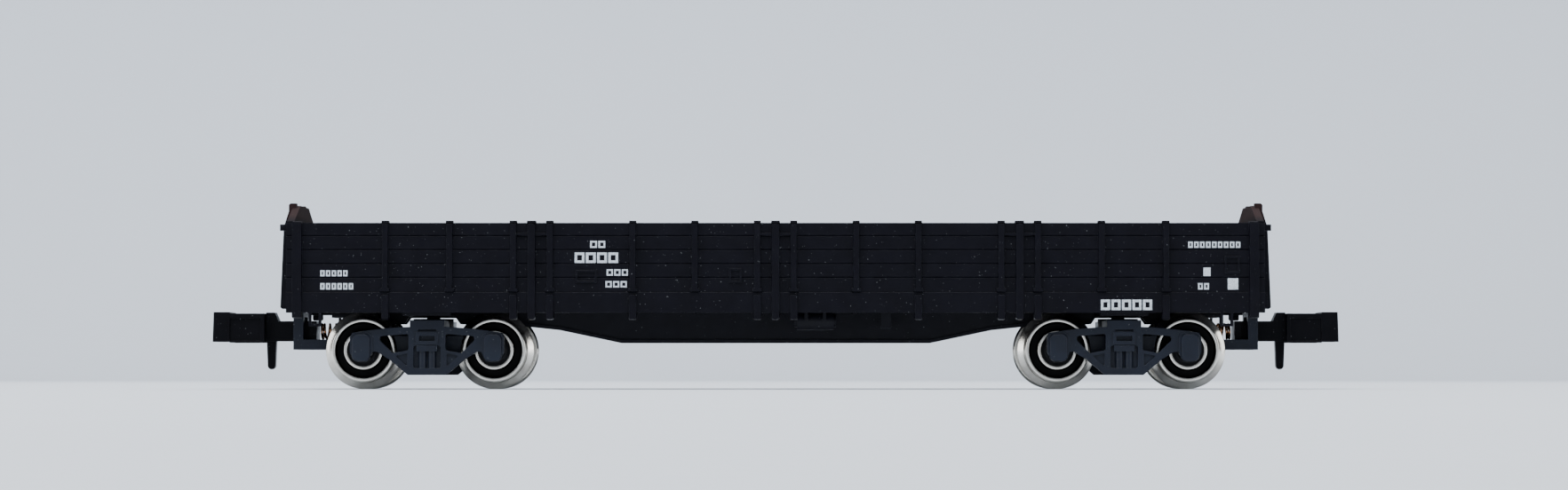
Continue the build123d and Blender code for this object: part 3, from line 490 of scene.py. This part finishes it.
# Floor, backdrop, lights and camera ---------------------------------------------------------

FLOOR_HALF_X = 0.9
FLOOR_FRONT = -0.8
BACKDROP_Y = 0.55
BACKDROP_R = 0.11
BACKDROP_TOP = 0.14


def sweep_backdrop(bm):
    """A floor that curves up into a low backdrop."""
    profile = [(FLOOR_FRONT, 0.0), (0.0, 0.0), (BACKDROP_Y - BACKDROP_R, 0.0)]
    for k in range(1, 17):
        a = math.pi / 2 * k / 16
        profile.append((BACKDROP_Y - BACKDROP_R + BACKDROP_R * math.sin(a), BACKDROP_R * (1 - math.cos(a))))
    profile.append((BACKDROP_Y, BACKDROP_TOP))
    sides = [[bm.verts.new((x, y, z)) for y, z in profile] for x in (-FLOOR_HALF_X, FLOOR_HALF_X)]
    for k in range(len(profile) - 1):
        bm.faces.new((sides[0][k], sides[1][k], sides[1][k + 1], sides[0][k + 1])).smooth = True


paper = Shader("backdrop_paper")
paper.link(paper.mix(paper.noise(30 * MM), (0.605, 0.655, 0.725), (0.625, 0.675, 0.745)),
           paper.bsdf.inputs["Base Color"])
paper.link(paper.ramp(paper.noise(1.5 * MM), 0.3, 0.7, 0.70, 0.82), paper.bsdf.inputs["Roughness"])
# The paper is clear from behind, so that the wagon's far side can be seen over the backdrop
clear_back = paper.add("ShaderNodeMixShader")
paper.link(paper.add("ShaderNodeNewGeometry").outputs["Backfacing"], clear_back.inputs[0])
paper.link(paper.bsdf.outputs[0], clear_back.inputs[1])
paper.link(paper.add("ShaderNodeBsdfTransparent").outputs[0], clear_back.inputs[2])
paper.link(clear_back.outputs[0], paper.tree.nodes["Material Output"].inputs["Surface"])
floor = new_piece("backdrop", sweep_backdrop, (paper.material,))
if floor.data.polygons[0].normal.z < 0:
    floor.data.flip_normals()


def area_light(name, place, aim, size, power, colour=(1, 1, 1)):
    data = bpy.data.lights.new(name, "AREA")
    data.shape = "RECTANGLE"
    data.size, data.size_y = size
    data.energy = power
    data.color = colour
    lamp = bpy.data.objects.new(name, data)
    lamp.location = place
    lamp.rotation_euler = (Vector(aim) - Vector(place)).to_track_quat("-Z", "Y").to_euler()
    bpy.context.scene.collection.objects.link(lamp)


area_light("key", (-0.15, -0.32, 0.62), (0, 0, 0.01), (0.8, 0.5), 9.0)
for side in (-1, 1):
    area_light(f"strip_{side}", (side * 0.75, -0.42, 0.16), (0, 0, 0.01), (0.30, 0.45), 1.8,
               (0.95, 0.97, 1.0))
area_light("rim", (0.0, 0.30, 0.45), (0, 0, 0.01), (0.9, 0.25), 4.0)

world = bpy.data.worlds.new("studio")
bpy.context.scene.world = world
world.use_nodes = True
background = world.node_tree.nodes["Background"]
background.inputs["Color"].default_value = (0.78, 0.86, 0.98, 1)
background.inputs["Strength"].default_value = 0.30

# The camera stands low, square to the right-hand side and 375 mm away, and looks slightly up
LENS = 98.7
SENSOR_WIDE = 36.0
CAMERA_AWAY = 375 * MM
CAMERA_X = 0.74 * MM
CAMERA_Z = 1.4 * MM
AIM_Z = 12.6 * MM
camera_data = bpy.data.cameras.new("camera")
camera_data.sensor_width = SENSOR_WIDE
camera_data.lens = LENS
camera_data.clip_start = 0.01
camera = bpy.data.objects.new("camera", camera_data)
camera.location = (CAMERA_X, cad_box[0][1] - CAMERA_AWAY, CAMERA_Z)
camera.rotation_euler = (math.pi / 2 + math.atan2(AIM_Z - CAMERA_Z, CAMERA_AWAY), 0, 0)
bpy.context.scene.collection.objects.link(camera)
bpy.context.scene.camera = camera

bpy.context.view_layer.update()
